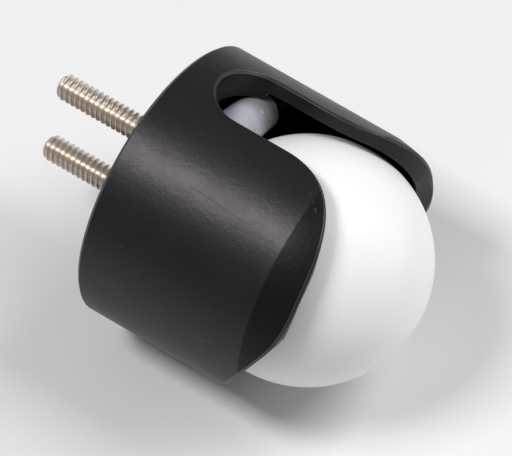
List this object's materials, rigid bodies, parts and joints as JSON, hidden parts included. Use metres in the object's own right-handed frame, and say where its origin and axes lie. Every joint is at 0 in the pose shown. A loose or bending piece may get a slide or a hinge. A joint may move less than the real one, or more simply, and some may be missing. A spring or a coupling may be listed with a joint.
{
  "type": "ball castor",
  "caption": "Small ball castor: a black moulded cup with two hooked claws holds a white ball on small rollers, with mounting screws standing out of its flat back.",
  "frame": {"origin": "centre of the cup's flat mounting face", "axes": "+Z out of the mounting face along the screws, +X towards the window that shows the first roller"},
  "size_m": [0.0304, 0.0304, 0.044],
  "materials": {
    "cup_plastic": "satin",
    "ball_plastic": "satin",
    "roller_plastic": "satin",
    "screw_steel": "polished",
    "pin_steel": "ground"
  },
  "bodies": {
    "cup": {"housing": "cup_plastic", "roller_pin_1": "pin_steel", "roller_pin_2": "pin_steel", "roller_pin_3": "pin_steel", "mount_screw_1": "screw_steel", "mount_screw_2": "screw_steel"},
    "ball": {"ball": "ball_plastic"},
    "roller_1": {"roller_1": "roller_plastic"},
    "roller_2": {"roller_2": "roller_plastic"},
    "roller_3": {"roller_3": "roller_plastic"}
  },
  "joints": [
    {"name": "ball_roll", "type": "hinge", "parent": "cup", "child": "ball", "pos_m": [0, 0, -0.0176], "axis": [0, 1, 0], "continuous": true},
    {"name": "roller_1_turn", "type": "hinge", "parent": "cup", "child": "roller_1", "pos_m": [0.0095, 0, -0.00599], "axis": [0, 1, 0], "continuous": true},
    {"name": "roller_2_turn", "type": "hinge", "parent": "cup", "child": "roller_2", "pos_m": [-0.00475, 0.00823, -0.00599], "axis": [-0.866, -0.5, 0], "continuous": true},
    {"name": "roller_3_turn", "type": "hinge", "parent": "cup", "child": "roller_3", "pos_m": [-0.00475, -0.00823, -0.00599], "axis": [0.866, -0.5, 0], "continuous": true}
  ],
  "couplings": [
    {"joint": "roller_1_turn", "follows": "ball_roll", "ratio": -5.6444},
    {"joint": "roller_2_turn", "follows": "ball_roll", "ratio": 2.8222},
    {"joint": "roller_3_turn", "follows": "ball_roll", "ratio": 2.8222}
  ]
}
